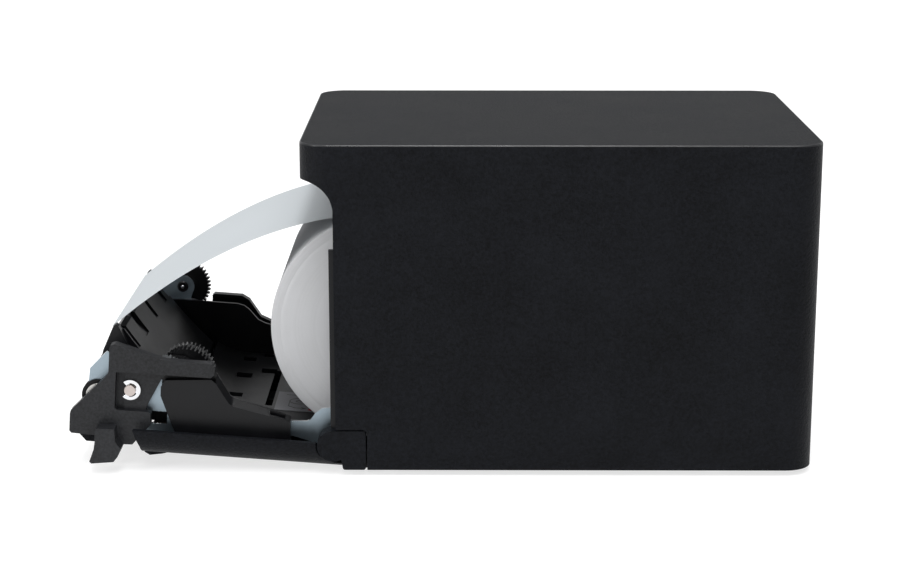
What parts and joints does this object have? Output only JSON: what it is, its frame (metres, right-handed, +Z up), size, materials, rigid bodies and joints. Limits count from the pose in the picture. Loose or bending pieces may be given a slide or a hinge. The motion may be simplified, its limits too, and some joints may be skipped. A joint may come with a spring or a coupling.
{
  "type": "receipt printer",
  "caption": "Compact front-loading thermal receipt printer, cover folded open with platen, gears and release lever, paper roll in place, head and cutter inside a box case.",
  "frame": {"origin": "under the centre of the four fixing holes in the base, level with the surface the feet stand on", "axes": "+Z up, -Y towards the front cover, +X to the right of a person facing the front from behind the case"},
  "size_m": [0.13, 0.263, 0.118],
  "materials": {
    "case_plastic": "fine spark-eroded texture, near black",
    "frame_plastic": "moulded, satin, black",
    "lever_plastic": "moulded, fine matt, charcoal",
    "gear_plastic": "smooth acetal, black",
    "sheet_steel": "zinc-coated, blue-grey",
    "blade_steel": "ground",
    "spring_steel": "bright",
    "shaft_steel": "turned, bright",
    "screw_steel": "nickel plated",
    "socket_shell": "tinned",
    "motor_can": "drawn, plated",
    "heatsink_alloy": "extruded",
    "pinion_brass": "hobbed",
    "head_ceramic": "glazed line",
    "circuit_board": "solder mask over glass cloth",
    "lens": "translucent",
    "flat_cable": "laminated ribbon",
    "foot_rubber": "matt",
    "platen_rubber": "ground, fine",
    "core_card": "wound card",
    "thermal_paper": "smooth coated, cool white",
    "label_paper": null
  },
  "bodies": {
    "chassis": {"case_cover": "case_plastic", "base_frame": "frame_plastic", "inner_wall_right": "frame_plastic", "inner_wall_left": "frame_plastic", "hinge_cheek_right": "case_plastic", "hinge_cheek_left": "case_plastic", "roll_bucket": "frame_plastic", "head_bracket": "sheet_steel", "head_springs": "spring_steel", "fixed_blade": "blade_steel", "exit_guide": "frame_plastic", "tear_bar": "blade_steel", "main_board": "circuit_board", "control_board": "circuit_board", "status_lens": "lens", "connector_panel": "frame_plastic", "dc_jack": "frame_plastic", "usb_port": "socket_shell", "lan_port": "socket_shell", "drawer_port": "frame_plastic", "head_cable": "flat_cable", "cover_switch": "gear_plastic", "near_end_sensor": "gear_plastic", "rubber_feet": "foot_rubber", "base_screws": "screw_steel", "bracket_screws": "screw_steel", "paper_strip": "thermal_paper"},
    "head": {"thermal_head": "head_ceramic", "head_heatsink": "heatsink_alloy"},
    "cover": {"cover_panel": "case_plastic", "front_band": "case_plastic", "inner_tray": "frame_plastic", "tray_label": "label_paper", "cover_frame": "sheet_steel", "mech_body": "frame_plastic", "hinge_pins": "shaft_steel", "feed_motor": "motor_can", "cutter_motor": "motor_can", "platen_bushings": "gear_plastic", "lever_shaft": "shaft_steel", "lever_clip": "spring_steel", "lever_spring": "spring_steel", "gear_studs": "shaft_steel", "frame_screws": "screw_steel"},
    "platen": {"platen_shaft": "shaft_steel", "platen_roller": "platen_rubber", "platen_gear": "gear_plastic"},
    "idler": {"idler_gear": "gear_plastic"},
    "feed_gear": {"feed_gear": "gear_plastic"},
    "motor_pinion": {"motor_pinion": "pinion_brass"},
    "cutter_wheel": {"cutter_wheel": "gear_plastic"},
    "cutter_pinion": {"cutter_pinion": "pinion_brass"},
    "cutter": {"cutter_blade": "blade_steel", "cutter_rack": "gear_plastic"},
    "lever": {"release_lever": "lever_plastic"},
    "feed_button": {"feed_button": "lever_plastic"},
    "power_button": {"power_button": "lever_plastic"},
    "roll_core": {"roll_core": "core_card"},
    "paper_roll": {"paper_roll": "thermal_paper"}
  },
  "joints": [
    {"name": "cover_hinge", "type": "hinge", "parent": "chassis", "child": "cover", "pos_m": [0, -0.0793, 0.0108], "axis": [-1, 0, 0], "range_deg": [0, 85.8], "deforming": ["paper_strip"]},
    {"name": "platen_spin", "type": "hinge", "parent": "cover", "child": "platen", "pos_m": [0, -0.16309, 0.02628], "axis": [1, 0, 0], "continuous": true},
    {"name": "idler_spin", "type": "hinge", "parent": "cover", "child": "idler", "pos_m": [-0.0546, -0.15317, 0.02751], "axis": [1, 0, 0], "continuous": true},
    {"name": "feed_gear_spin", "type": "hinge", "parent": "cover", "child": "feed_gear", "pos_m": [-0.0546, -0.14632, 0.04029], "axis": [1, 0, 0], "continuous": true},
    {"name": "motor_spin", "type": "hinge", "parent": "cover", "child": "motor_pinion", "pos_m": [-0.0546, -0.14379, 0.02703], "axis": [1, 0, 0], "continuous": true},
    {"name": "cutter_wheel_turn", "type": "hinge", "parent": "cover", "child": "cutter_wheel", "pos_m": [0.0461, -0.13255, 0.03256], "axis": [1, 0, 0], "range_deg": [0, 30.5]},
    {"name": "cutter_pinion_turn", "type": "hinge", "parent": "cover", "child": "cutter_pinion", "pos_m": [0.0461, -0.14121, 0.02253], "axis": [1, 0, 0], "range_deg": [-80, 1]},
    {"name": "blade_slide", "type": "slide", "parent": "cover", "child": "cutter", "axis": [0, -0.9973, 0.0732], "range_m": [0, 0.00502]},
    {"name": "lever_turn", "type": "hinge", "parent": "cover", "child": "lever", "pos_m": [0.0568, -0.15105, 0.0292], "axis": [1, 0, 0], "range_deg": [0, 7], "stiffness_Nm_per_rad": 0.03, "springref_deg": -17.19, "deforming": ["lever_spring"]},
    {"name": "head_float", "type": "slide", "parent": "chassis", "child": "head", "axis": [0, 0.2588, 0.9659], "range_m": [0, 0.0006], "stiffness_N_per_m": 3000, "springref_m": -0.001, "deforming": ["head_springs"]},
    {"name": "feed_button_press", "type": "slide", "parent": "chassis", "child": "feed_button", "axis": [0, 1, 0], "range_m": [0, 0.0008], "stiffness_N_per_m": 300, "springref_m": -0.001},
    {"name": "power_button_press", "type": "slide", "parent": "chassis", "child": "power_button", "axis": [0, 1, 0], "range_m": [0, 0.0008], "stiffness_N_per_m": 300, "springref_m": -0.001},
    {"name": "roll_shift", "type": "slide", "parent": "chassis", "child": "roll_core", "axis": [0, 1, 0], "range_m": [0, 0.0361]},
    {"name": "roll_spin", "type": "hinge", "parent": "roll_core", "child": "paper_roll", "pos_m": [0, -0.0612, 0.0473], "axis": [1, 0, 0], "continuous": true}
  ],
  "couplings": [
    {"joint": "idler_spin", "follows": "platen_spin", "ratio": -1.5},
    {"joint": "feed_gear_spin", "follows": "platen_spin", "ratio": 0.57143},
    {"joint": "motor_spin", "follows": "platen_spin", "ratio": -2},
    {"joint": "cutter_wheel_turn", "follows": "blade_slide", "rad_per_m": 105.26},
    {"joint": "cutter_pinion_turn", "follows": "blade_slide", "rad_per_m": -266.67},
    {"joint": "roll_shift", "follows": "cover_hinge", "m_per_rad": 0.02404}
  ]
}
